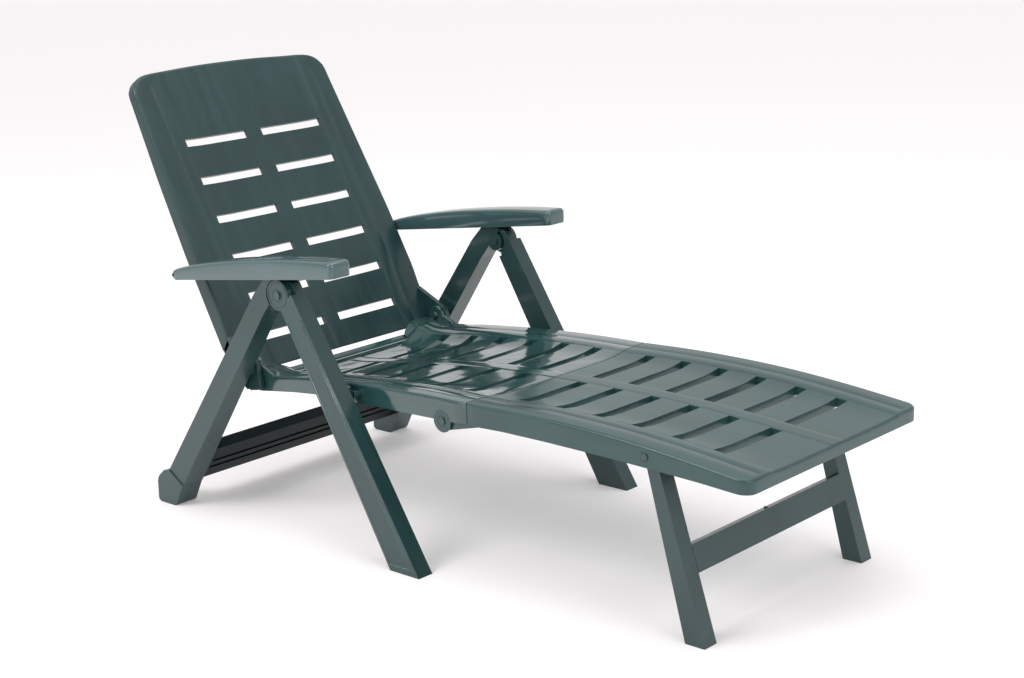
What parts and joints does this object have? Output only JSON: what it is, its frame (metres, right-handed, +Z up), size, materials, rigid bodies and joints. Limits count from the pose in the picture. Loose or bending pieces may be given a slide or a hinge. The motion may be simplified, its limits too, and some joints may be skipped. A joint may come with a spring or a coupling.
{
  "type": "reclining sun lounger",
  "caption": "Folding garden sun lounger in moulded plastic: slotted reclining back, dished seat, leg rest, long arms, crossed side legs and a folding foot frame.",
  "frame": {"origin": "middle of the outline's bounding box, on the floor", "axes": "+X towards the foot end, +Y the sitter's left, +Z up"},
  "size_m": [1.727, 0.747, 0.98],
  "materials": {
    "panel_plastic": "glossy dark green moulded polypropylene",
    "frame_plastic": "semi-gloss dark green moulded polypropylene",
    "arm_plastic": "glossy dark green moulded polypropylene",
    "foot_plastic": "semi-gloss dark green moulded polypropylene",
    "pin_plastic": "smooth dark green moulded plastic"
  },
  "bodies": {
    "rear_frame": {"rear_leg_left": "frame_plastic", "rear_leg_right": "frame_plastic", "rear_crossbar": "frame_plastic", "rear_foot_cap_left": "foot_plastic", "rear_foot_cap_right": "foot_plastic", "leg_pivot_pin_left": "pin_plastic", "leg_pivot_pin_right": "pin_plastic", "back_pivot_pin_left": "pin_plastic", "back_pivot_pin_right": "pin_plastic", "pivot_bush_left": "pin_plastic", "pivot_bush_right": "pin_plastic"},
    "seat": {"seat_panel": "panel_plastic", "knuckle_pin_left": "pin_plastic", "knuckle_pin_right": "pin_plastic"},
    "front_leg_left": {"front_leg_left": "frame_plastic", "front_sole_left": "foot_plastic"},
    "front_leg_right": {"front_leg_right": "frame_plastic", "front_sole_right": "foot_plastic"},
    "backrest": {"backrest_panel": "panel_plastic", "arm_pin_left": "pin_plastic", "arm_pin_right": "pin_plastic"},
    "arm_left": {"arm_left": "arm_plastic"},
    "arm_right": {"arm_right": "arm_plastic"},
    "legrest": {"legrest_panel": "panel_plastic", "foot_pivot_pin_left": "pin_plastic", "foot_pivot_pin_right": "pin_plastic"},
    "foot_frame": {"foot_leg_left": "frame_plastic", "foot_leg_right": "frame_plastic", "foot_sole_left": "foot_plastic", "foot_sole_right": "foot_plastic", "foot_crossbar": "frame_plastic"}
  },
  "joints": [
    {"name": "seat_fold", "type": "hinge", "parent": "rear_frame", "child": "seat", "pos_m": [-0.46149, 0, 0.35], "axis": [0, -1, 0], "range_deg": [0, 53]},
    {"name": "front_leg_left_fold", "type": "hinge", "parent": "rear_frame", "child": "front_leg_left", "pos_m": [-0.28649, 0, 0.545], "axis": [0, -1, 0], "range_deg": [-60.3, 0]},
    {"name": "front_leg_right_fold", "type": "hinge", "parent": "rear_frame", "child": "front_leg_right", "pos_m": [-0.28649, 0, 0.545], "axis": [0, -1, 0], "range_deg": [-60.3, 0]},
    {"name": "back_recline", "type": "hinge", "parent": "rear_frame", "child": "backrest", "pos_m": [-0.46149, 0, 0.35], "axis": [0, -1, 0], "range_deg": [0, 45]},
    {"name": "arm_left_recline", "type": "hinge", "parent": "backrest", "child": "arm_left", "pos_m": [-0.61949, 0, 0.553], "axis": [0, -1, 0], "range_deg": [-25.5, 0]},
    {"name": "arm_right_recline", "type": "hinge", "parent": "backrest", "child": "arm_right", "pos_m": [-0.61949, 0, 0.553], "axis": [0, -1, 0], "range_deg": [-25.5, 0]},
    {"name": "legrest_fold", "type": "hinge", "parent": "seat", "child": "legrest", "pos_m": [0.11751, 0, 0.324], "axis": [0, 1, 0], "range_deg": [0, 176]},
    {"name": "foot_frame_fold", "type": "hinge", "parent": "legrest", "child": "foot_frame", "pos_m": [0.63511, 0, 0.3465], "axis": [0, 1, 0], "range_deg": [0, 104.5]}
  ],
  "couplings": [
    {"joint": "front_leg_left_fold", "follows": "seat_fold", "ratio": -1.1273},
    {"joint": "front_leg_right_fold", "follows": "seat_fold", "ratio": -1.1273},
    {"joint": "arm_left_recline", "follows": "back_recline", "ratio": -0.5612},
    {"joint": "arm_right_recline", "follows": "back_recline", "ratio": -0.5612},
    {"joint": "foot_frame_fold", "follows": "legrest_fold", "ratio": 0.59091}
  ]
}
